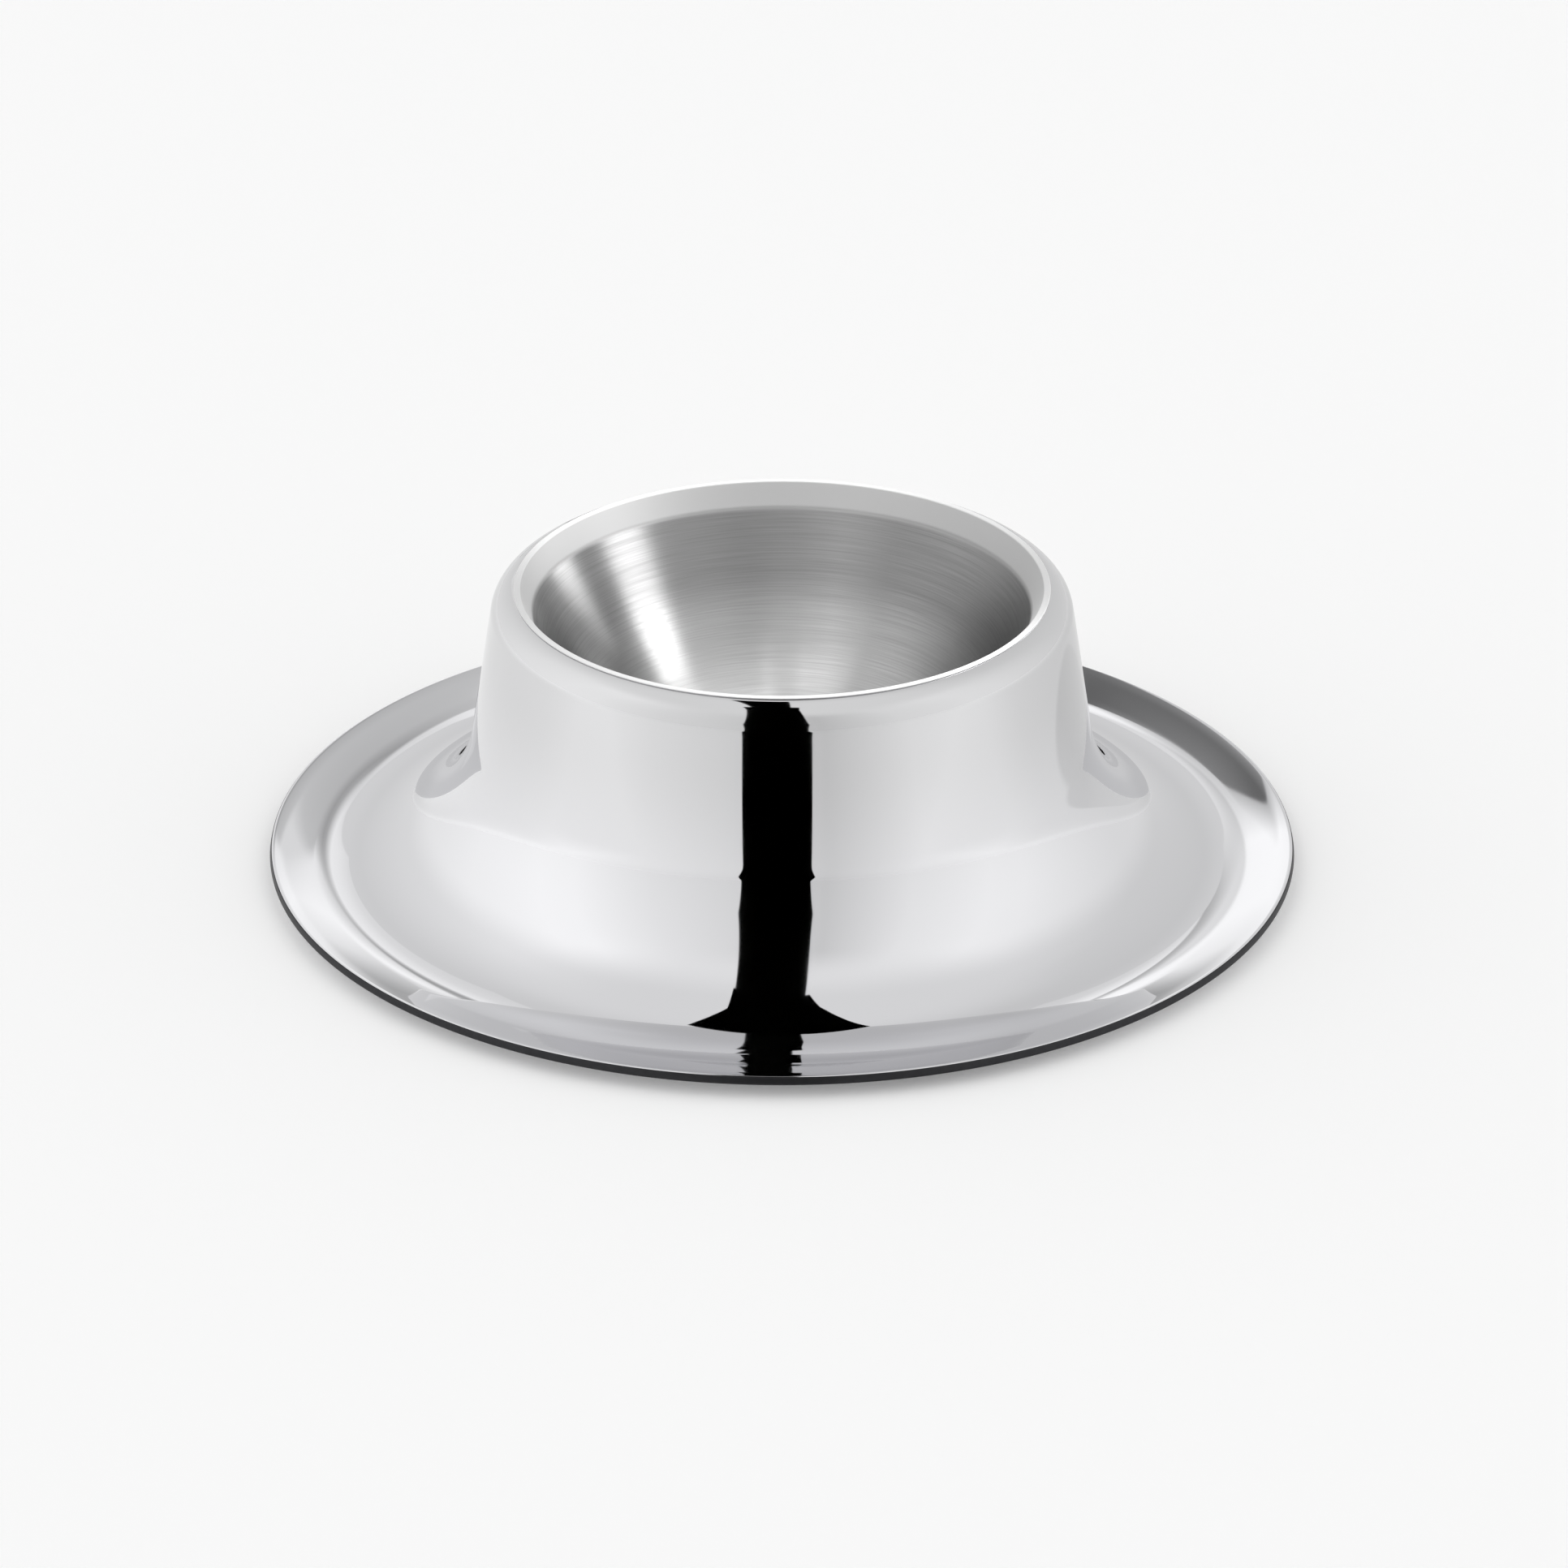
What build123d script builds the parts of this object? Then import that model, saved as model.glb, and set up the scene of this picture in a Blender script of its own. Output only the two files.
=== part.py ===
from build123d import *
import math
import os

# Egg cup: a drawn steel shell that is saucer, bell and shoulder in one, and an egg bowl set into its mouth.
# Millimetres and degrees. The axis is Z, the table is z = 0 and the origin is the centre of the foot.

# Stand shell, sizes of its upper face from the mouth outwards
stand_height = 26.8
shell_sheet = 0.8
shoulder_fall = 3.0
shoulder_radius = 2.7
wall_tilt = 9.0
flare_radius = 14.3
flare_end_slope = 31.0
valley_radius = 10.7
foot_land = 1.0
rim_slope = 13.3
rim_width = 6.45

# Egg bowl, sizes of its inner face
mouth_radius = 23.8
edge_stand = 0.1
bowl_sheet = 0.5
lip_slope = 63.5
lip_drop = 2.1
bowl_slope = 60.0
bowl_underside = 4.6

# Film of solder between the bowl's lip and the shell's bevelled mouth
seat_gap = 0.05


def along(angle, length):
    # Step in the profile plane: angle above the outward horizontal
    a = math.radians(angle)
    return Vector(length * math.cos(a), length * math.sin(a))


def lathe(outline):
    # Turns a closed outline, drawn with radius as X and height as Y, about the cup's axis
    return revolve(Plane.XZ * make_face(outline), Axis.Z)


# The bowl's rounded edge: its centre, and where the lip's two faces leave it
edge_radius = bowl_sheet / 2
edge_centre = Vector(mouth_radius, stand_height + edge_stand - edge_radius)
edge_tip = edge_centre + along(lip_slope, edge_radius)
lip_in = edge_centre + along(lip_slope + 90, edge_radius)
lip_out = edge_centre + along(lip_slope - 90, edge_radius)

# Below the lip the bowl is a cone, and its bottom is the part of a sphere that runs smoothly into the cone
lip_foot_z = stand_height + edge_stand - lip_drop
lip_length = (lip_in.Y - lip_foot_z) / math.sin(math.radians(lip_slope))
lip_foot = lip_in - along(lip_slope, lip_length)
bowl_bottom_z = bowl_underside + bowl_sheet
cone_sine = math.sin(math.radians(bowl_slope))
cone_cosine = math.cos(math.radians(bowl_slope))
bowl_depth = lip_foot.Y - bowl_bottom_z
bottom_radius = (lip_foot.X * cone_sine - bowl_depth * cone_cosine) / (1 - cone_cosine)
bottom_centre = Vector(0, bowl_bottom_z + bottom_radius)

# The outside keeps the sheet's thickness: its corner below the lip lies between the two slopes
bend = math.radians(lip_slope - bowl_slope) / 2
lip_out_foot = lip_foot + along((lip_slope + bowl_slope) / 2 - 90, bowl_sheet / math.cos(bend))
lip_out_length = (lip_out - lip_out_foot).length


def bottom_arc(radius):
    # From the end of the cone down to the axis, on a sphere about the bottom's centre
    ends = [bottom_centre + along(angle - 90, radius) for angle in (bowl_slope, bowl_slope / 2, 0)]
    return ThreePointArc(*ends)


inside = bottom_arc(bottom_radius)
outside = bottom_arc(bottom_radius + bowl_sheet)
bowl_section = make_face([
    ThreePointArc(lip_in, edge_tip, lip_out),
    Line(lip_out, lip_out_foot),
    Line(lip_out_foot, outside @ 0),
    outside,
    Line(outside @ 1, inside @ 1),
    inside,
    Line(inside @ 0, lip_foot),
    Line(lip_foot, lip_in),
])
egg_bowl = revolve(Plane.XZ * bowl_section, Axis.Z)

# The straight of the wall takes up whatever height the curves leave
valley_outer = valley_radius + shell_sheet
land_depth = valley_outer - math.sqrt(valley_outer ** 2 - (foot_land / 2) ** 2)
shoulder_drop = shoulder_radius * (math.cos(math.radians(shoulder_fall)) - math.sin(math.radians(wall_tilt)))
flare_drop = flare_radius * (math.cos(math.radians(flare_end_slope)) - math.sin(math.radians(wall_tilt)))
valley_drop = valley_radius * (1 - math.cos(math.radians(flare_end_slope)))
wall_drop = stand_height + land_depth - shell_sheet - shoulder_drop - flare_drop - valley_drop
wall_run = wall_drop / math.cos(math.radians(wall_tilt))

# The rim's straight ends where its rounded edge begins
rim_edge_radius = shell_sheet / 2
rim_reach = rim_width - rim_edge_radius * (1 + math.sin(math.radians(rim_slope)))
rim_run = rim_reach / math.cos(math.radians(rim_slope)) - valley_radius * math.tan(math.radians(rim_slope))


def shell_face_line(depth):
    # One face of the shell's sheet, as far under its upper face as depth says, from the mouth to the rim
    start = Vector(mouth_radius, stand_height) + along(-90 - shoulder_fall, depth)
    turn = 90 - wall_tilt - shoulder_fall
    shoulder = JernArc(start, along(-shoulder_fall, 1), shoulder_radius - depth, -turn)
    wall = Line(shoulder @ 1, shoulder @ 1 + (shoulder % 1) * wall_run)
    flare = JernArc(wall @ 1, wall % 1, flare_radius + depth, 90 - wall_tilt - flare_end_slope)
    valley = JernArc(flare @ 1, flare % 1, valley_radius + depth, flare_end_slope + rim_slope)
    rim = Line(valley @ 1, valley @ 1 + (valley % 1) * rim_run)
    return [shoulder, wall, flare, valley, rim]


upper = shell_face_line(0)
lower = shell_face_line(shell_sheet)
rim_top = upper[-1] @ 1
rim_under = lower[-1] @ 1
rim_tip = (rim_top + rim_under) / 2 + along(rim_slope, rim_edge_radius)
rim_edge = ThreePointArc(rim_top, rim_tip, rim_under)
mouth_end = Line(lower[0] @ 0, upper[0] @ 0)
blank = lathe(upper + [rim_edge] + lower + [mouth_end])

# The mouth is bevelled to the slope of the bowl's lip, and the valley is ground flat where it stands on the table
seat_line = lip_out + along(lip_slope - 90, seat_gap)
seat_low = seat_line - along(lip_slope, lip_out_length + shell_sheet)
seat_high = seat_line + along(lip_slope, lip_out_length + shell_sheet)
seat = lathe(Polyline(seat_low, seat_high, (0, seat_high.Y), (0, seat_low.Y), close=True))
below_table = Cylinder(rim_tip.X, valley_outer, align=(Align.CENTER, Align.CENTER, Align.MAX))
stand_shell = blank - seat - below_table

os.makedirs("parts", exist_ok=True)
for name, piece in {"stand_shell": stand_shell, "egg_bowl": egg_bowl}.items():
    export_step(piece, f"parts/{name}.step")
    box = piece.bounding_box()
    print(name, "volume", round(piece.volume, 1), "from", box.min, "to", box.max)
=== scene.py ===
import math
import bpy
import mathutils
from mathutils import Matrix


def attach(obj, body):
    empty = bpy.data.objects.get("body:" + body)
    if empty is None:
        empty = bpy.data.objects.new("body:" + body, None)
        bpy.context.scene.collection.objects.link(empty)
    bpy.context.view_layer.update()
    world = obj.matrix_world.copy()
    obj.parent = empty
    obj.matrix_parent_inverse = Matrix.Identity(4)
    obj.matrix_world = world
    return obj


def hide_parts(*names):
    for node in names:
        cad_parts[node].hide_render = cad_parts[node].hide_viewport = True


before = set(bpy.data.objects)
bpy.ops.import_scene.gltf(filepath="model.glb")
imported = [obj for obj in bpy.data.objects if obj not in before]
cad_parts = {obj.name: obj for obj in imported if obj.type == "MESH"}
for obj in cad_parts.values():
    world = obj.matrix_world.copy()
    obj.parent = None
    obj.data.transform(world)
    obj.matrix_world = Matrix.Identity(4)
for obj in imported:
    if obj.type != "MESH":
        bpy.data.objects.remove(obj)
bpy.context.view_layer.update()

# Stand shell: rim, valley, flare, bell and shoulder in one, drawn from a disc of stainless sheet.
# Its outside is polished on a wheel, and the bottom of the valley is ground flat to stand on.
# Lengths are in millimetres, and headings in degrees above the outward horizontal.
MM = 0.001
TURN_STEPS = 320
shell_sheet = 0.8
shell_mouth_radius = 24.185
shell_mouth_height = 26.752
shoulder_start = -11.24
shoulder_under_end = -4.54
shoulder_radius = 2.7
wall_heading = -81.0
wall_run = 12.34
flare_radius = 14.3
flare_end = -31.0
valley_radius = 10.7
rise_radius = 12.0
rim_start = 12.0
rim_radius = 56.6
rim_steepest = 14.6
roll_radius = 59.8
rim_end = 13.5
edge_round = 0.2
edge_flat_run = 0.4
mouth_bevel = 63.5
mouth_bevel_run = 0.843


def start_profile(name, radius, height):
    bpy.ops.object.select_all(action="DESELECT")
    bpy.ops.mesh.primitive_plane_add(size=MM)
    piece = bpy.context.object
    piece.name = name
    piece.data.name = name
    bpy.ops.object.mode_set(mode="EDIT")
    bpy.ops.mesh.merge(type="CENTER")
    bpy.ops.transform.translate(value=(radius * MM, 0, height * MM))
    return piece


def draw_run(heading, length, steps):
    a = math.radians(heading)
    step = length * MM / steps
    move = (step * math.cos(a), 0, step * math.sin(a))
    for _ in range(steps):
        bpy.ops.mesh.extrude_vertices_move(TRANSFORM_OT_translate={"value": move})


def draw_bend(heading, radius, turn, steps):
    chord = 2 * radius * MM * math.sin(math.radians(abs(turn) / steps / 2))
    for k in range(steps):
        a = math.radians(heading + turn * (k + 0.5) / steps)
        move = (chord * math.cos(a), 0, chord * math.sin(a))
        bpy.ops.mesh.extrude_vertices_move(TRANSFORM_OT_translate={"value": move})


def spin_profile(sharp):
    bpy.ops.mesh.select_all(action="SELECT")
    bpy.ops.mesh.spin(steps=TURN_STEPS, angle=2 * math.pi, center=(0, 0, 0), axis=(0, 0, 1))
    bpy.ops.mesh.select_all(action="SELECT")
    bpy.ops.mesh.remove_doubles(threshold=0.008 * MM)
    bpy.ops.mesh.normals_make_consistent(inside=False)
    bpy.ops.object.mode_set(mode="OBJECT")
    bpy.ops.object.shade_smooth_by_angle(angle=math.radians(sharp))


stand_shell = start_profile("stand_shell_polished", shell_mouth_radius, shell_mouth_height)
draw_bend(shoulder_start, shoulder_radius, wall_heading - shoulder_start, 40)
draw_run(wall_heading, wall_run, 30)
draw_bend(wall_heading, flare_radius, flare_end - wall_heading, 50)
draw_bend(flare_end, valley_radius, -flare_end, 28)
draw_bend(0, rise_radius, rim_start, 16)
draw_bend(rim_start, rim_radius, rim_steepest - rim_start, 12)
draw_bend(rim_steepest, roll_radius, rim_end - rim_steepest, 6)
draw_bend(rim_end, edge_round, -90, 6)
draw_run(rim_end - 90, edge_flat_run, 2)
draw_bend(rim_end - 90, edge_round, -90, 6)
draw_bend(rim_end + 180, roll_radius - shell_sheet, rim_steepest - rim_end, 3)
draw_bend(rim_steepest + 180, rim_radius + shell_sheet, rim_start - rim_steepest, 4)
draw_bend(rim_start + 180, rise_radius + shell_sheet, -rim_start, 8)
draw_bend(180, valley_radius + shell_sheet, flare_end, 16)
draw_bend(flare_end + 180, flare_radius + shell_sheet, wall_heading - flare_end, 30)
draw_run(wall_heading + 180, wall_run, 12)
draw_bend(wall_heading + 180, shoulder_radius - shell_sheet, shoulder_under_end - wall_heading, 12)
draw_run(mouth_bevel, mouth_bevel_run, 2)
spin_profile(40)

# The bottom of the valley is ground flat at table height
bpy.ops.object.mode_set(mode="EDIT")
bpy.ops.mesh.select_all(action="DESELECT")
bpy.ops.object.mode_set(mode="OBJECT")
for vertex in stand_shell.data.vertices:
    vertex.select = vertex.co.z < 0
bpy.ops.object.mode_set(mode="EDIT")
bpy.ops.transform.resize(value=(1, 1, 0), center_override=(0, 0, 0))
bpy.ops.object.mode_set(mode="OBJECT")


def linear(hex_colour):
    channels = [int(hex_colour[i:i + 2], 16) / 255 for i in (1, 3, 5)]
    curve = [c / 12.92 if c <= 0.04045 else ((c + 0.055) / 1.055) ** 2.4 for c in channels]
    return (*curve, 1.0)


def add(tree, kind, links=None, **settings):
    node = tree.nodes.new(kind)
    for key, value in settings.items():
        setattr(node, key, value)
    for key, value in (links or {}).items():
        if isinstance(value, bpy.types.NodeSocket):
            tree.links.new(value, node.inputs[key])
        else:
            node.inputs[key].default_value = value
    return node


def new_material(name):
    material = bpy.data.materials.new(name)
    material.use_nodes = True
    material.node_tree.nodes.clear()
    return material


# Stainless steel, polished on a wheel: a clear mirror with a faint haze that comes and goes over 7 mm.
# Painted shade: the steel is painted darker up the bell towards the shoulder, and darker round the
# valley's crease, than on the open flare and rim.
polished_steel = new_material("stainless_steel_wheel_polished")
tree = polished_steel.node_tree
place = add(tree, "ShaderNodeTexCoord").outputs["Object"]
haze = add(tree, "ShaderNodeTexNoise", {
    "Vector": place, "Scale": 1 / (7 * MM), "Detail": 3.0}).outputs["Fac"]
haze_roughness = add(tree, "ShaderNodeMapRange", {
    "Value": haze, "From Min": 0.3, "From Max": 0.7,
    "To Min": 0.02, "To Max": 0.045}).outputs["Result"]
height = add(tree, "ShaderNodeSeparateXYZ", {"Vector": place}).outputs["Z"]
# Painted shade, darker towards the shoulder
shoulder_shade = add(tree, "ShaderNodeMapRange", {
    "Value": height, "From Min": 6 * MM, "From Max": 22 * MM},
    interpolation_type="SMOOTHSTEP").outputs["Result"]
bell_shaded_tone = add(tree, "ShaderNodeMix", {
    "Factor": shoulder_shade, "A": linear("#DADADC"), "B": linear("#CBCBCC")},
    data_type="RGBA").outputs["Result"]
flat = add(tree, "ShaderNodeVectorMath", {0: place, 1: (1, 1, 0)}, operation="MULTIPLY").outputs[0]
radius = add(tree, "ShaderNodeVectorMath", {0: flat}, operation="LENGTH").outputs["Value"]
# Painted shade in the valley's crease
off_valley = add(tree, "ShaderNodeMath", {0: radius, 1: 36.5 * MM}, operation="SUBTRACT").outputs[0]
off_valley = add(tree, "ShaderNodeMath", {0: off_valley}, operation="ABSOLUTE").outputs[0]
valley_shade = add(tree, "ShaderNodeMapRange", {
    "Value": off_valley, "From Min": 2 * MM, "From Max": 4.5 * MM, "To Min": 1.0, "To Max": 0.0},
    interpolation_type="SMOOTHSTEP").outputs["Result"]
steel_shaded_tone = add(tree, "ShaderNodeMix", {
    "Factor": valley_shade, "A": bell_shaded_tone, "B": linear("#CECED0")},
    data_type="RGBA").outputs["Result"]
shader = add(tree, "ShaderNodeBsdfPrincipled", {
    "Base Color": steel_shaded_tone, "Metallic": 1.0, "Roughness": haze_roughness})
add(tree, "ShaderNodeOutputMaterial", {"Surface": shader.outputs["BSDF"]})

# Stainless steel, as it leaves the rolling mill: a soft grey satin, cloudy over 5 mm.
# It is on the faces that don't show.
mill_steel = new_material("stainless_steel_mill_satin")
tree = mill_steel.node_tree
place = add(tree, "ShaderNodeTexCoord").outputs["Object"]
cloud = add(tree, "ShaderNodeTexNoise", {
    "Vector": place, "Scale": 1 / (5 * MM), "Detail": 4.0}).outputs["Fac"]
skin_roughness = add(tree, "ShaderNodeMapRange", {
    "Value": cloud, "From Min": 0.3, "From Max": 0.7,
    "To Min": 0.3, "To Max": 0.42}).outputs["Result"]
skin_tone = add(tree, "ShaderNodeMix", {
    "Factor": cloud, "A": linear("#BDBDBE"), "B": linear("#B1B1B3")},
    data_type="RGBA").outputs["Result"]
shader = add(tree, "ShaderNodeBsdfPrincipled", {
    "Base Color": skin_tone, "Metallic": 1.0, "Roughness": skin_roughness})
add(tree, "ShaderNodeOutputMaterial", {"Surface": shader.outputs["BSDF"]})

# Stainless steel at the rim's cut edge, sheared in the die, with painted shade: the cut face is painted
# dark, which gives a thin dark line round the saucer.
cut_edge_shade_steel = new_material("stainless_steel_edge_painted_shade")
tree = cut_edge_shade_steel.node_tree
place = add(tree, "ShaderNodeTexCoord").outputs["Object"]
edge_mottle = add(tree, "ShaderNodeTexNoise", {
    "Vector": place, "Scale": 1 / (0.6 * MM), "Detail": 2.0}).outputs["Fac"]
edge_shade_tone = add(tree, "ShaderNodeMix", {
    "Factor": edge_mottle, "A": linear("#343436"), "B": linear("#3E3E40")},
    data_type="RGBA").outputs["Result"]
shader = add(tree, "ShaderNodeBsdfPrincipled", {
    "Base Color": edge_shade_tone, "Metallic": 1.0, "Roughness": 0.5})
add(tree, "ShaderNodeOutputMaterial", {"Surface": shader.outputs["BSDF"]})
cut_edge_from = 46.5
for material in (polished_steel, mill_steel, cut_edge_shade_steel):
    stand_shell.data.materials.append(material)
# The rim's outward cut faces get the painted shade, and faces underneath get the mill satin
for face in stand_shell.data.polygons:
    out = math.hypot(face.center.x, face.center.y)
    faces_out = (face.normal.x * face.center.x + face.normal.y * face.center.y) / out
    if out > cut_edge_from * MM and faces_out > 0.5:
        face.material_index = 2
    elif face.normal.z < 0:
        face.material_index = 1
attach(stand_shell, "root")
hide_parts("stand_shell")

# Egg bowl: a drawn stainless bowl, brushed in rings on the lathe, with a satin lip and a painted
# highlight on its edge.
# It is dropped into the shell's mouth and soldered there, so that no gap is left beside its edge.
bowl_sheet = 0.5
mouth_radius = 23.8
mouth_height = 26.9
lip_slope = 63.5
lip_drop = 2.1
bowl_slope = 60.0
lip_sheet = 0.545
edge_corner = 0.07
bowl_underside = 4.6
lip_sine = math.sin(math.radians(lip_slope))
lip_cosine = math.cos(math.radians(lip_slope))
foot_height = mouth_height - lip_drop
half_sheet = bowl_sheet / 2
foot_radius = mouth_radius - half_sheet / lip_sine - (lip_drop - half_sheet) * lip_cosine / lip_sine
edge_flat = (lip_sheet - 2 * edge_corner) / lip_sine
lip_length = (lip_drop - edge_corner * (1 - lip_cosine)) / lip_sine

# Below the lip the bowl is a cone, and a sphere that runs smoothly into the cone is its bottom
bowl_bottom = bowl_underside + bowl_sheet
bowl_depth = foot_height - bowl_bottom
cone_sine = math.sin(math.radians(bowl_slope))
cone_cosine = math.cos(math.radians(bowl_slope))
bottom_radius = (foot_radius * cone_sine - bowl_depth * cone_cosine) / (1 - cone_cosine)
cone_length = (foot_radius - bottom_radius * cone_sine) / cone_cosine
egg_bowl = start_profile("egg_bowl_brushed", 0, bowl_bottom)
draw_bend(0, bottom_radius, bowl_slope, 60)
draw_run(bowl_slope, cone_length, 30)
draw_run(lip_slope, lip_length, 8)
draw_bend(lip_slope, edge_corner, -lip_slope, 6)
draw_run(0, edge_flat, 3)
draw_bend(0, edge_corner, lip_slope - 180, 8)

# The back of the lip runs down to the back of the cone, which keeps the sheet's thickness to the axis
back_radius = foot_radius + lip_length * lip_cosine + edge_corner * 2 * lip_sine + edge_flat
back_height = foot_height + lip_length * lip_sine - edge_corner * 2 * lip_cosine
join_radius = (bottom_radius + bowl_sheet) * cone_sine
join_height = bowl_bottom + bottom_radius - (bottom_radius + bowl_sheet) * cone_cosine
bend_sine = math.sin(math.radians(lip_slope - bowl_slope))
across = back_radius - join_radius
up = back_height - join_height
back_length = (up * cone_cosine - across * cone_sine) / bend_sine
cone_back = (across - back_length * lip_cosine) / cone_cosine
draw_run(lip_slope + 180, back_length, 6)
draw_run(bowl_slope + 180, cone_back, 16)
draw_bend(bowl_slope + 180, bottom_radius + bowl_sheet, -bowl_slope, 30)
spin_profile(40)

# Stainless steel, brushed on the lathe: fine rings that stretch each light into a streak down the bowl.
# The rings carry painted shade: they are painted dark high on the wall and less dark towards the
# bottom.
# The real scratches are about 0.05 mm apart. They are drawn 0.12 mm apart and 10 mm long, to show.
# On the lip a soft pad has rubbed the rings out, so it is paler and quite blurred.
# Its edge carries a painted highlight: it is painted nearly white.
brushed_steel = new_material("stainless_steel_lathe_brushed")
tree = brushed_steel.node_tree
place = add(tree, "ShaderNodeTexCoord").outputs["Object"]
height = add(tree, "ShaderNodeSeparateXYZ", {"Vector": place}).outputs["Z"]
flat = add(tree, "ShaderNodeVectorMath", {0: place, 1: (1, 1, 0)}, operation="MULTIPLY").outputs[0]
radius = add(tree, "ShaderNodeVectorMath", {0: flat}, operation="LENGTH").outputs["Value"]
inward = add(tree, "ShaderNodeMath", {0: radius, 1: cone_cosine}, operation="MULTIPLY").outputs[0]
climb = add(tree, "ShaderNodeMath", {
    0: height, 1: cone_sine, 2: inward}, operation="MULTIPLY_ADD").outputs[0]
ring = add(tree, "ShaderNodeMath", {0: climb, 1: 1 / (0.12 * MM)}, operation="MULTIPLY").outputs[0]
stack = add(tree, "ShaderNodeCombineXYZ", {"Z": ring}).outputs[0]
around = add(tree, "ShaderNodeVectorMath", {0: flat}, operation="NORMALIZE").outputs[0]
sweep = add(tree, "ShaderNodeVectorMath", {
    0: around, "Scale": foot_radius / 10}, operation="SCALE").outputs[0]
scratch_place = add(tree, "ShaderNodeVectorMath", {0: sweep, 1: stack}, operation="ADD").outputs[0]
scratch = add(tree, "ShaderNodeTexNoise", {
    "Vector": scratch_place, "Scale": 1.0, "Detail": 2.0}).outputs["Fac"]
grain = add(tree, "ShaderNodeTexNoise", {
    "Vector": place, "Scale": 1 / (0.16 * MM), "Detail": 1.0}).outputs["Fac"]
relief = add(tree, "ShaderNodeMath", {0: scratch, 1: grain}, operation="ADD").outputs[0]
rubbed = add(tree, "ShaderNodeMapRange", {
    "Value": height, "From Min": (foot_height - 0.4) * MM, "From Max": (foot_height + 0.2) * MM},
    interpolation_type="SMOOTHSTEP").outputs["Result"]
tone = add(tree, "ShaderNodeMapRange", {
    "Value": scratch, "From Min": 0.3, "From Max": 0.7}).outputs["Result"]
# Painted shade: the upper wall is painted darker than the lower
upper_shaded_tone = add(tree, "ShaderNodeMix", {
    "Factor": tone, "A": linear("#808080"), "B": linear("#8C8C8C")},
    data_type="RGBA").outputs["Result"]
lower_shaded_tone = add(tree, "ShaderNodeMix", {
    "Factor": tone, "A": linear("#A2A2A2"), "B": linear("#AEAEAE")},
    data_type="RGBA").outputs["Result"]
shade_up_wall = add(tree, "ShaderNodeMapRange", {
    "Value": height, "From Min": 15 * MM, "From Max": 20 * MM},
    interpolation_type="SMOOTHSTEP").outputs["Result"]
ring_tone = add(tree, "ShaderNodeMix", {
    "Factor": shade_up_wall, "A": lower_shaded_tone, "B": upper_shaded_tone}, data_type="RGBA").outputs["Result"]
satin_tone = add(tree, "ShaderNodeMix", {
    "Factor": rubbed, "A": ring_tone, "B": linear("#DCDCDC")}, data_type="RGBA").outputs["Result"]
# Painted highlight along the edge's crest
edge_highlight = add(tree, "ShaderNodeMapRange", {
    "Value": height, "From Min": (mouth_height - 0.12) * MM,
    "From Max": (mouth_height - 0.04) * MM}).outputs["Result"]
lip_tone = add(tree, "ShaderNodeMix", {
    "Factor": edge_highlight, "A": satin_tone, "B": linear("#F2F2F2")}, data_type="RGBA").outputs["Result"]
ring_roughness = add(tree, "ShaderNodeMapRange", {
    "Value": scratch, "From Min": 0.3, "From Max": 0.7,
    "To Min": 0.34, "To Max": 0.3}).outputs["Result"]
lip_roughness = add(tree, "ShaderNodeMapRange", {
    "Value": rubbed, "To Min": ring_roughness, "To Max": 0.8}).outputs["Result"]
bump_strength = add(tree, "ShaderNodeMapRange", {
    "Value": rubbed, "To Min": 0.06, "To Max": 0.01}).outputs["Result"]
bump = add(tree, "ShaderNodeBump", {
    "Height": relief, "Strength": bump_strength, "Distance": 0.04 * MM}).outputs["Normal"]
shader = add(tree, "ShaderNodeBsdfPrincipled", {
    "Base Color": lip_tone, "Metallic": 1.0, "Roughness": lip_roughness,
    "Anisotropic": 0.88, "Anisotropic Rotation": 0.25, "Normal": bump})
add(tree, "ShaderNodeOutputMaterial", {"Surface": shader.outputs["BSDF"]})
egg_bowl.data.materials.append(brushed_steel)
egg_bowl.data.materials.append(mill_steel)
for face in egg_bowl.data.polygons:
    outward = face.normal.x * face.center.x + face.normal.y * face.center.y > 0
    on_top = face.center.z > (mouth_height - 0.1) * MM
    if face.normal.z < 0 or outward and not on_top:
        face.material_index = 1
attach(egg_bowl, "root")
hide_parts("egg_bowl")

# Floor: a plain pale table top, larger than any view of the cup needs.
# The metal shows it as bright as the tent beyond it, with the cup's shadow at the back right.
bpy.ops.object.select_all(action="DESELECT")
# It lies a hair under the foot, so that the two faces are not in one plane
bpy.ops.mesh.primitive_plane_add(size=6.0, location=(0, 0, -0.02 * MM))
floor = bpy.context.object
floor.name = "floor"

# Levels of light, where 1 is white: the most that a ramp can hold, the lit floor itself,
# and the tent's wall by its bearing, in degrees to the right of the camera
top_level = 1.4
plain_floor = 0.77
wall_levels = [(-180, 0.84), (-150, 1.03), (-120, 1.2), (-90, 1.29), (-75, 1.27), (-45, 1.07),
               (15, 0.79), (45, 1.08), (75, 1.19), (90, 1.16), (135, 0.94), (180, 0.84)]
shadow_place = (58 * MM, 29.5 * MM, 0)


def levels_along(tree, value, levels):
    # Reads a value off a graph of straight lines between the given points
    first = levels[0][0]
    last = levels[-1][0]
    share = add(tree, "ShaderNodeMapRange", {
        "Value": value, "From Min": first, "From Max": last}).outputs["Result"]
    ramp = add(tree, "ShaderNodeValToRGB", {"Fac": share})
    ramp.color_ramp.interpolation = "LINEAR"
    stops = ramp.color_ramp.elements
    while len(stops) < len(levels):
        stops.new(0.5)
    for stop, (at, level) in zip(stops, levels):
        stop.position = (at - first) / (last - first)
        stop.color = (level / top_level, level / top_level, level / top_level, 1)
    return add(tree, "ShaderNodeVectorMath", {
        0: ramp.outputs["Color"], "Scale": top_level}, operation="SCALE").outputs[0]


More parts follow.
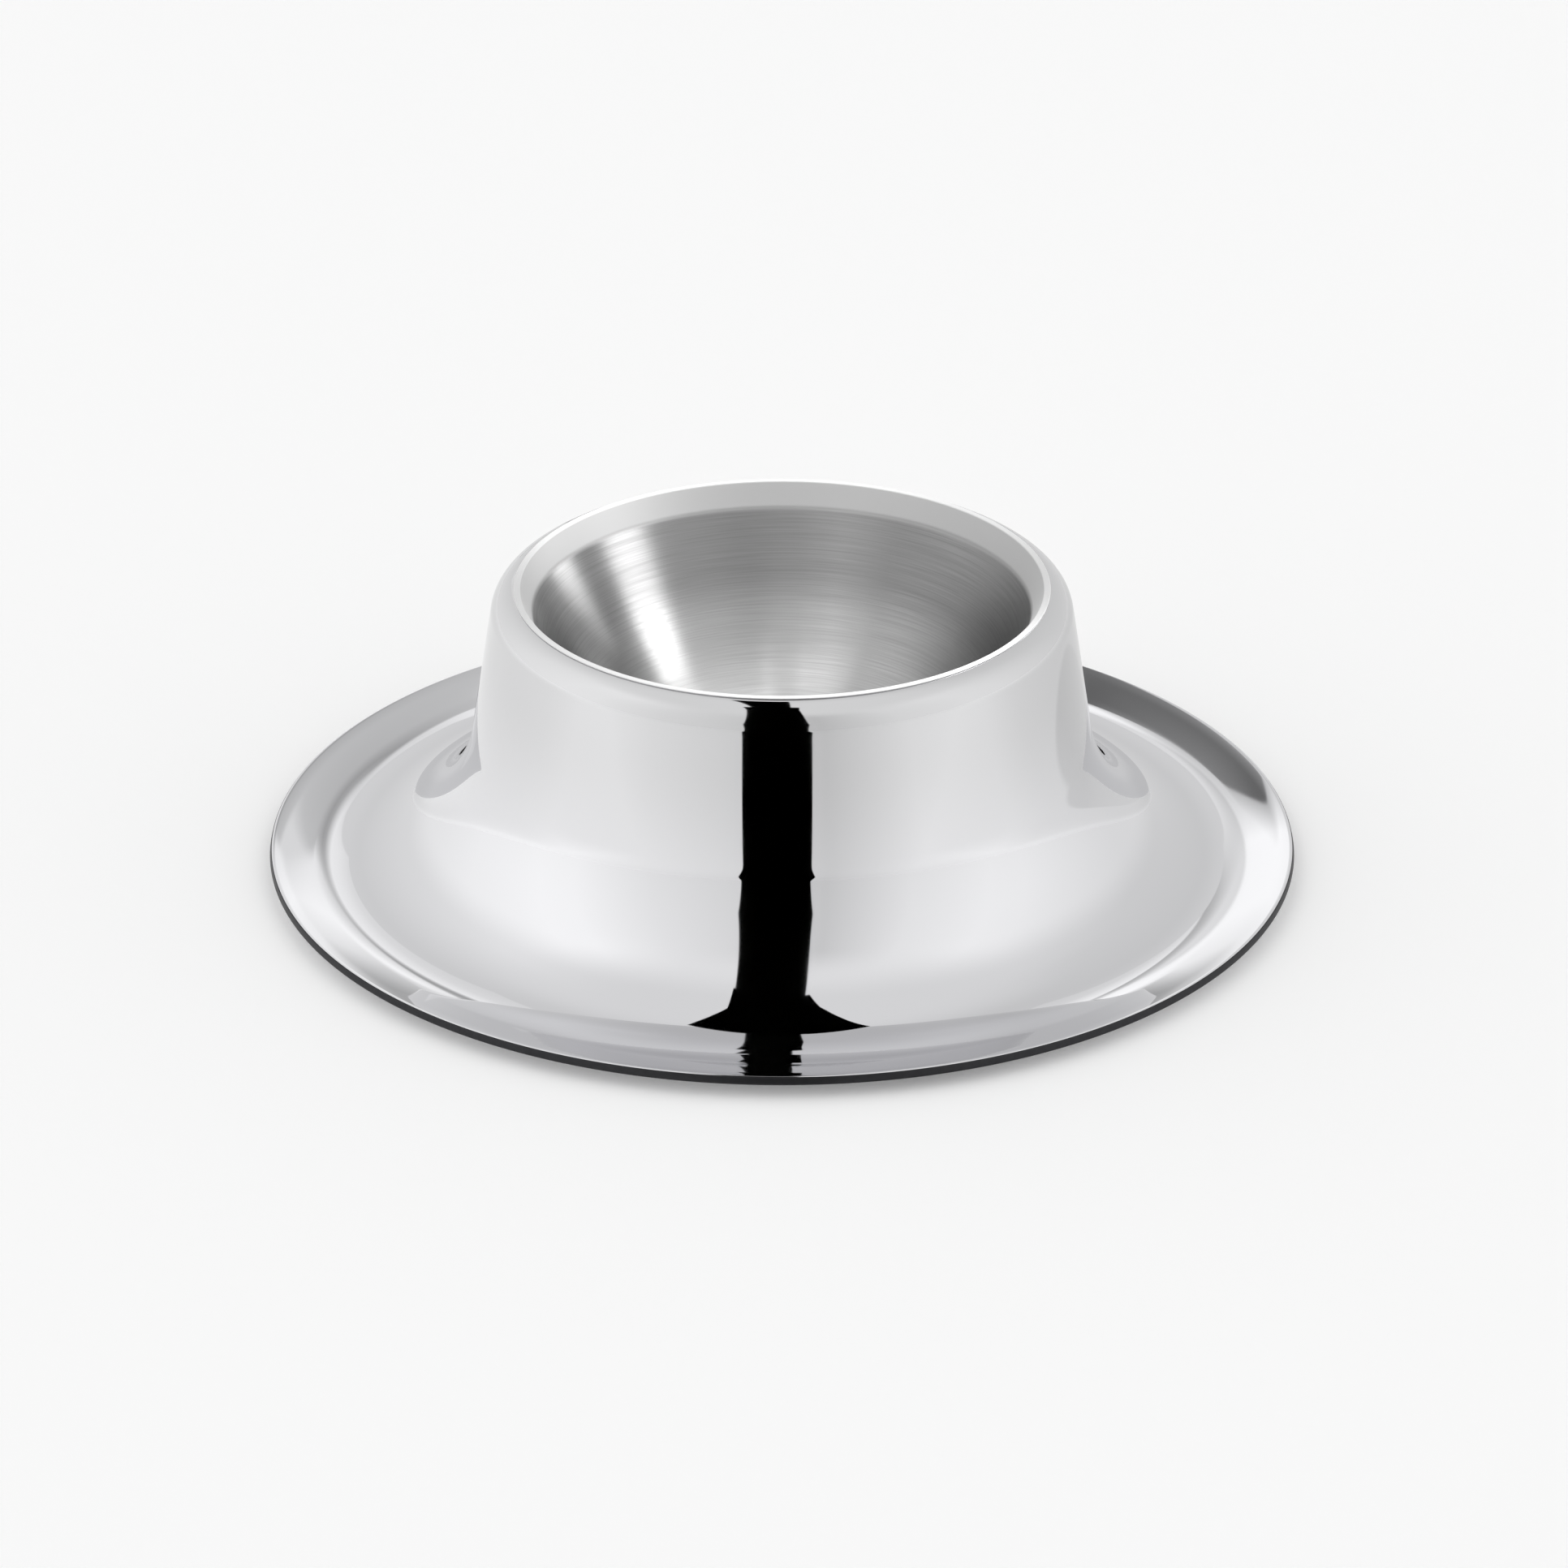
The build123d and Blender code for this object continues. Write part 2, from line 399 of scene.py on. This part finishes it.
def wall_level(tree, vector):
    # How bright the tent's wall is on the bearing of a vector
    axes = add(tree, "ShaderNodeSeparateXYZ", {"Vector": vector}).outputs
    towards = add(tree, "ShaderNodeMath", {0: axes["Y"], 1: -1.0}, operation="MULTIPLY").outputs[0]
    bearing = add(tree, "ShaderNodeMath", {0: axes["X"], 1: towards}, operation="ARCTAN2").outputs[0]
    degrees = add(tree, "ShaderNodeMath", {0: bearing}, operation="DEGREES").outputs[0]
    return levels_along(tree, degrees, wall_levels)


floor_paint = new_material("table_top_matt_pale_paint")
tree = floor_paint.node_tree
path = add(tree, "ShaderNodeLightPath").outputs
place = add(tree, "ShaderNodeTexCoord").outputs["Object"]
depth = add(tree, "ShaderNodeSeparateXYZ", {"Vector": place}).outputs["Y"]
near_share = add(tree, "ShaderNodeMapRange", {
    "Value": depth, "From Min": -0.07, "From Max": 0.0,
    "To Min": 1.06, "To Max": 0.86}).outputs["Result"]
far_off = add(tree, "ShaderNodeVectorMath", {0: place}, operation="LENGTH").outputs["Value"]
share = add(tree, "ShaderNodeMapRange", {
    "Value": far_off, "From Min": 0.09, "From Max": 0.35,
    "To Min": near_share, "To Max": 1.0}).outputs["Result"]
floor_level = add(tree, "ShaderNodeVectorMath", {
    0: wall_level(tree, place), "Scale": share}, operation="SCALE").outputs[0]
from_shadow = add(tree, "ShaderNodeVectorMath", {
    0: place, 1: shadow_place}, operation="DISTANCE").outputs["Value"]
shadow = add(tree, "ShaderNodeMapRange", {
    "Value": from_shadow, "From Min": 0.0175, "From Max": 0.0205,
    "To Min": 0.14, "To Max": 0.0}).outputs["Result"]
taken = add(tree, "ShaderNodeMath", {0: shadow, 1: plain_floor}, operation="ADD").outputs[0]
mirrored = add(tree, "ShaderNodeMath", {0: floor_level, 1: taken}, operation="SUBTRACT").outputs[0]
direct = add(tree, "ShaderNodeMath", {
    0: path["Is Camera Ray"], 1: 0.15}, operation="MULTIPLY").outputs[0]
glossy = add(tree, "ShaderNodeMath", {
    0: path["Is Glossy Ray"], 1: mirrored}, operation="MULTIPLY").outputs[0]
lift = add(tree, "ShaderNodeMath", {0: direct, 1: glossy}, operation="MAXIMUM").outputs[0]
paint = add(tree, "ShaderNodeBsdfDiffuse", {"Color": linear("#EDEDED")})
glow = add(tree, "ShaderNodeEmission", {"Color": (1, 1, 1, 1), "Strength": lift})
both = add(tree, "ShaderNodeAddShader", {0: paint.outputs["BSDF"], 1: glow.outputs["Emission"]})
# From below the table is clear, so that the underside of the cup can be looked at
back_side = add(tree, "ShaderNodeNewGeometry").outputs["Backfacing"]
clear = add(tree, "ShaderNodeBsdfTransparent")
one_sided = add(tree, "ShaderNodeMixShader", {
    0: back_side, 1: both.outputs["Shader"], 2: clear.outputs["BSDF"]})
add(tree, "ShaderNodeOutputMaterial", {"Surface": one_sided.outputs["Shader"]})
floor.data.materials.append(floor_paint)

# Dark cloth on the table towards the camera, and cards that stand behind the cup.
# They are seen only in the metal, as the bright and dark shapes that give it its form.


def reflected_card(name, corners, material):
    bpy.ops.object.select_all(action="DESELECT")
    bpy.ops.mesh.primitive_plane_add(size=1.0)
    card = bpy.context.object
    card.name = name
    for vertex, corner in zip(card.data.vertices, corners):
        vertex.co = corner
    card.data.materials.append(material)
    card.visible_camera = False
    card.visible_diffuse = False
    card.visible_shadow = False
    card.visible_transmission = False


def glowing(name):
    material = new_material(name)
    tree = material.node_tree
    glow = add(tree, "ShaderNodeEmission", {"Color": (1, 1, 1, 1), "Strength": 0.0})
    add(tree, "ShaderNodeOutputMaterial", {"Surface": glow.outputs["Emission"]})
    return material, tree, glow.inputs["Strength"]


def level_strip(names, height, edges, material):
    # Flat cards at one height, far to near: an edge is its place along Y and its left and right ends
    for name, far, near in zip(names, edges, edges[1:]):
        corners = [(far[1], far[0]), (far[2], far[0]), (near[1], near[0]), (near[2], near[0])]
        reflected_card(name, [(x * MM, y * MM, height * MM) for x, y in corners], material)


cloth_edges = [(-3000, -741.6, 517.7), (-250, -63.27, 47.73), (-50, -6.27, 4.73)]
black_cloth, tree, strength = glowing("cloth_black")
level_strip(["dark_cloth_far", "dark_cloth_near"], 0.4, cloth_edges, black_cloth)

# A dark flap low in front of the bell spreads the foot of the dark strip on the flare.
# It is seen only from below, so that the shoulder doesn't show it
flap_edges = [(-35.6, -5.7, 3.2), (-34.3, -6.1, 4.9), (-33.0, -7.5, 6.3), (-31.6, -8.8, 7.7),
              (-30.4, -9.7, 9.0)]
black_flap, tree, strength = glowing("flap_black")
back_side = add(tree, "ShaderNodeNewGeometry").outputs["Backfacing"]
clear = add(tree, "ShaderNodeBsdfTransparent")
one_sided = add(tree, "ShaderNodeMixShader", {
    0: back_side, 1: clear.outputs["BSDF"], 2: strength.node.outputs["Emission"]})
tree.links.new(one_sided.outputs["Shader"], tree.nodes["Material Output"].inputs["Surface"])
level_strip([f"dark_flap_{k}" for k in (3, 2, 1, 0)], 13, flap_edges, black_flap)

# The cards stand side by side behind the cup
card_y = 120 * MM


def back_card(side, lower_levels, share_levels, upper_levels, foot, outline):
    # White below and grey above: the white changes with height and across, the grey along a slant.
    # The foot says where the grey begins, at an inner and an outer place, and how soft its border is
    material, tree, strength = glowing("card_" + side)
    sign = -1 if side == "left" else 1
    place = add(tree, "ShaderNodeTexCoord").outputs["Object"]
    place_mm = add(tree, "ShaderNodeVectorMath", {
        0: place, 1: (sign / MM, 0, 1 / MM)}, operation="MULTIPLY").outputs[0]
    axes = add(tree, "ShaderNodeSeparateXYZ", {"Vector": place_mm}).outputs
    leaning = add(tree, "ShaderNodeVectorMath", {
        0: place_mm, 1: (1, 0, 0.5)}, operation="DOT_PRODUCT").outputs["Value"]
    lower = levels_along(tree, axes["Z"], lower_levels)
    share = levels_along(tree, axes["X"], share_levels)
    lower = add(tree, "ShaderNodeVectorMath", {0: lower, 1: share}, operation="MULTIPLY").outputs[0]
    upper = levels_along(tree, leaning, upper_levels)
    x_in, x_out, foot_in, foot_out, blur = foot
    foot_height = add(tree, "ShaderNodeMapRange", {
        "Value": axes["X"], "From Min": x_in, "From Max": x_out,
        "To Min": foot_in, "To Max": foot_out}).outputs["Result"]
    above = add(tree, "ShaderNodeMath", {0: axes["Z"], 1: foot_height}, operation="SUBTRACT").outputs[0]
    risen = add(tree, "ShaderNodeMapRange", {
        "Value": above, "From Min": -blur, "From Max": blur},
        interpolation_type="SMOOTHSTEP").outputs["Result"]
    level = add(tree, "ShaderNodeMix", {
        "Factor": risen, "A": lower, "B": upper}, data_type="RGBA").outputs["Result"]
    tree.links.new(level, strength)
    for k in range(len(outline) - 1):
        (z_low, x_low), (z_high, x_high) = outline[k], outline[k + 1]
        reflected_card(f"card_{side}_{k}", [
            (sign * x_low * MM, card_y, z_low * MM), (0, card_y, z_low * MM),
            (sign * x_high * MM, card_y, z_high * MM), (0, card_y, z_high * MM)], material)


back_card("left",
          [(16, 0.66), (24, 0.62), (28, 0.75), (37, 1.13), (46, 1.25), (58, 1.08), (64, 0.9)],
          [(26.5, 0.8), (28.5, 1.0), (30, 1.0), (36, 0.84)],
          [(56.2, 0.93), (57.4, 0.71), (61.5, 0.58), (65, 0.46), (67.5, 0.52), (73, 1.13), (90, 1.0)],
          (27.0, 29.5, 55.0, 59.5, 2.5),
          [(0, 33), (48, 36), (59, 45), (62, 58), (130, 58)])
back_card("right",
          [(16, 0.66), (24, 0.62), (28, 0.75), (36, 1.15), (46, 1.32), (60, 1.32), (66, 0.94),
           (71, 0.75)],
          [(24.5, 0.68), (26.5, 1.0), (31, 0.95), (33.5, 0.74)],
          [(56.3, 0.86), (56.9, 0.14), (60.3, 0.31), (62, 0.74), (66, 0.88), (71, 1.18), (90, 0.95)],
          (23.8, 26.0, 64.5, 71.0, 1.2),
          [(0, 29.5), (48, 32), (58, 40), (61, 50), (130, 50)])

# Studio tent: white walls all round, with a dark slit from the camera over the top to the back.
# The metal shows the tent, and the camera sees a plain pale background in its place.
world = bpy.data.worlds.new("white_tent")
bpy.context.scene.world = world
world.use_nodes = True
tree = world.node_tree
tree.nodes.clear()
way = add(tree, "ShaderNodeTexCoord").outputs["Generated"]
axes = add(tree, "ShaderNodeSeparateXYZ", {"Vector": way}).outputs
towards = add(tree, "ShaderNodeMath", {0: axes["Y"], 1: -1.0}, operation="MULTIPLY").outputs[0]
walls = wall_level(tree, way)
overhead = add(tree, "ShaderNodeMapRange", {
    "Value": axes["Z"], "From Min": 0.72, "From Max": 0.95},
    interpolation_type="SMOOTHSTEP").outputs["Result"]
roof = add(tree, "ShaderNodeMix", {
    "Factor": overhead, "A": walls, "B": (1.04, 1.04, 1.04, 1)}, data_type="RGBA")

# The slit lies a little to the left, and its half width changes as it goes up and over, in radians
slit_shift = 0.035
slit_end = 2.12
slit_halves = [(0.4, 0.205), (1.4, 0.102), (1.6, 0.09), (1.62, 0.062), (slit_end, 0.045)]
aside = add(tree, "ShaderNodeMath", {0: axes["X"], 1: slit_shift}, operation="ADD").outputs[0]
across = add(tree, "ShaderNodeMath", {0: aside}, operation="ABSOLUTE").outputs[0]
arch = add(tree, "ShaderNodeMath", {0: axes["Z"], 1: towards}, operation="ARCTAN2").outputs[0]
half = levels_along(tree, arch, slit_halves)
inside = add(tree, "ShaderNodeMath", {0: across, 1: half}, operation="LESS_THAN").outputs[0]
reach = add(tree, "ShaderNodeMath", {0: arch, 1: slit_end}, operation="LESS_THAN").outputs[0]
slit = add(tree, "ShaderNodeMath", {0: inside, 1: reach}, operation="MULTIPLY").outputs[0]
tent = add(tree, "ShaderNodeMix", {
    "Factor": slit, "A": roof.outputs["Result"], "B": (0, 0, 0, 1)}, data_type="RGBA")
path = add(tree, "ShaderNodeLightPath").outputs["Is Camera Ray"]
seen = add(tree, "ShaderNodeMix", {
    "Factor": path, "A": tent.outputs["Result"], "B": linear("#F6F6F6")}, data_type="RGBA")
shade = add(tree, "ShaderNodeBackground", {"Color": seen.outputs["Result"], "Strength": 1.0})
add(tree, "ShaderNodeOutputWorld", {"Surface": shade.outputs["Background"]})

# Lamps for the bowl alone: a wide one over it, one that fills the slit, two small ones at the right.
# The small ones draw the bright streaks down the brushed rings.
bowl_only = bpy.data.collections.new("bowl_only")
bowl_only.objects.link(egg_bowl)


def bowl_lamp(name, place, width, length, radiance):
    lamp_data = bpy.data.lights.new(name, "AREA")
    lamp_data.shape = "RECTANGLE"
    lamp_data.size = width
    lamp_data.size_y = length
    lamp_data.energy = radiance * math.pi * width * length
    lamp = bpy.data.objects.new(name, lamp_data)
    bpy.context.scene.collection.objects.link(lamp)
    lamp.location = place
    to_bowl = mathutils.Vector((0, 0, 0.02)) - mathutils.Vector(place)
    lamp.rotation_euler = to_bowl.to_track_quat("-Z", "Y").to_euler()
    lamp.visible_camera = False
    lamp.light_linking.receiver_collection = bowl_only


bowl_lamp("lamp_over_bowl", (0.05, -0.08, 0.5), 1.0, 0.3, 1.2)
bowl_lamp("lamp_in_slit", (-0.015, -0.29, 0.32), 0.16, 0.6, 1.0)
bowl_lamp("lamp_streak", (0.4265, -0.052, 0.211), 0.18, 0.16, 7.0)
bowl_lamp("lamp_side_streak", (0.382, 0.248, 0.12), 0.12, 0.16, 6.5)

# Camera: the photograph's angle.
aim_right = 0.00018
aim_height = 0.00688
elevation = math.radians(25.95)
distance = 0.564
camera_data = bpy.data.cameras.new("camera")
camera_data.lens = 141.4
camera_data.sensor_width = 36
camera = bpy.data.objects.new("camera", camera_data)
bpy.context.scene.collection.objects.link(camera)
camera.location = (
    aim_right, -distance * math.cos(elevation), aim_height + distance * math.sin(elevation))
camera.rotation_euler = (math.pi / 2 - elevation, 0, 0)
bpy.context.scene.camera = camera
bpy.context.scene.view_settings.view_transform = "Standard"
